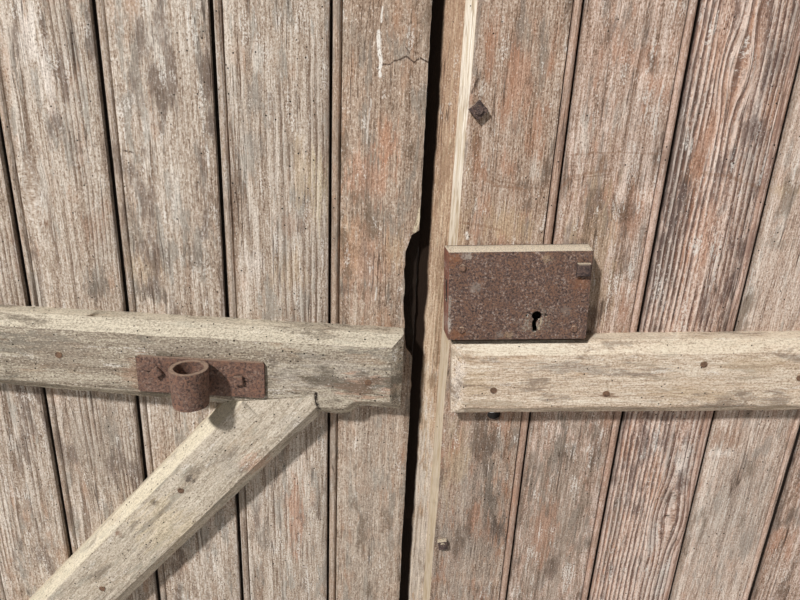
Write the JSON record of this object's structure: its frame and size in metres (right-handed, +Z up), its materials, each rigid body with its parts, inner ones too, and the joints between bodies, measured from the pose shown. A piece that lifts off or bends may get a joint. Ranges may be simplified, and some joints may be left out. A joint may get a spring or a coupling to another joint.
{
  "type": "cellar door",
  "caption": "Double-leaf ledged door of beaded boards in a rebated frame, with strap hinges, a brace, a bar socket and a rim lock.",
  "frame": {"origin": "middle of the base of the whole door, on the floor and halfway through its depth", "axes": "+X across the doorway to the right of someone who stands inside and looks out, +Y out of the cellar, +Z up"},
  "size_m": [1.564, 0.114, 1.974],
  "materials": {
    "left_boards": "weathered, with worn reddish stain",
    "right_boards": "weathered, with worn pinkish stain",
    "left_ledges": "weathered, worm-eaten, greenish grey",
    "right_ledges": "weathered, pale tan",
    "brace": "weathered",
    "cover_strip": "weathered",
    "frame_wood": "weathered",
    "lock_case": "rusted, with remains of paint",
    "lock_works": "rusted",
    "socket_iron": "rusted",
    "hinge_iron": "rusted",
    "fastener_iron": "rusted"
  },
  "bodies": {
    "frame": {"frame_pegs": "frame_wood", "head_rail": "frame_wood", "jamb_left": "frame_wood", "jamb_right": "frame_wood", "pintle_left_bottom": "hinge_iron", "pintle_left_top": "hinge_iron", "pintle_right_bottom": "hinge_iron", "pintle_right_top": "hinge_iron", "pintle_screws": "hinge_iron"},
    "left_leaf": {"bar_socket": "socket_iron", "bar_socket_nails": "socket_iron", "left_board_1": "left_boards", "left_board_2": "left_boards", "left_board_3": "left_boards", "left_board_4": "left_boards", "left_board_5": "left_boards", "left_board_6": "left_boards", "left_board_7": "left_boards", "left_brace": "brace", "left_ledge_bottom": "left_ledges", "left_ledge_middle": "left_ledges", "left_ledge_nails": "fastener_iron", "left_ledge_top": "left_ledges", "left_strap_bolts": "fastener_iron", "left_strap_bottom": "hinge_iron", "left_strap_nuts": "fastener_iron", "left_strap_top": "hinge_iron"},
    "right_leaf": {"cover_strip": "cover_strip", "cover_strip_bolts": "fastener_iron", "cover_strip_nuts": "fastener_iron", "lock_coach_screw": "fastener_iron", "lock_cover": "lock_case", "lock_guide": "lock_works", "lock_plate": "lock_case", "lock_posts": "lock_case", "lock_rim": "lock_case", "lock_spring": "lock_works", "lock_wards": "lock_works", "right_board_1": "right_boards", "right_board_2": "right_boards", "right_board_3": "right_boards", "right_board_4": "right_boards", "right_board_5": "right_boards", "right_board_6": "right_boards", "right_board_7": "right_boards", "right_ledge_bottom": "right_ledges", "right_ledge_middle": "right_ledges", "right_ledge_nails": "fastener_iron", "right_ledge_top": "right_ledges", "right_strap_bolts": "fastener_iron", "right_strap_bottom": "hinge_iron", "right_strap_nuts": "fastener_iron", "right_strap_top": "hinge_iron"},
    "lock_bolt": {"lock_bolt": "lock_works"}
  },
  "joints": [
    {"name": "left_leaf_swing", "type": "hinge", "parent": "frame", "child": "left_leaf", "pos_m": [-0.732, 0.045, 0.975], "axis": [0, 0, 1], "range_deg": [0, 165]},
    {"name": "right_leaf_swing", "type": "hinge", "parent": "frame", "child": "right_leaf", "pos_m": [0.732, 0.045, 0.975], "axis": [0, 0, -1], "range_deg": [0, 165]},
    {"name": "lock_bolt_throw", "type": "slide", "parent": "right_leaf", "child": "lock_bolt", "axis": [-0.9981, 0, -0.061], "range_m": [0, 0.016]}
  ]
}
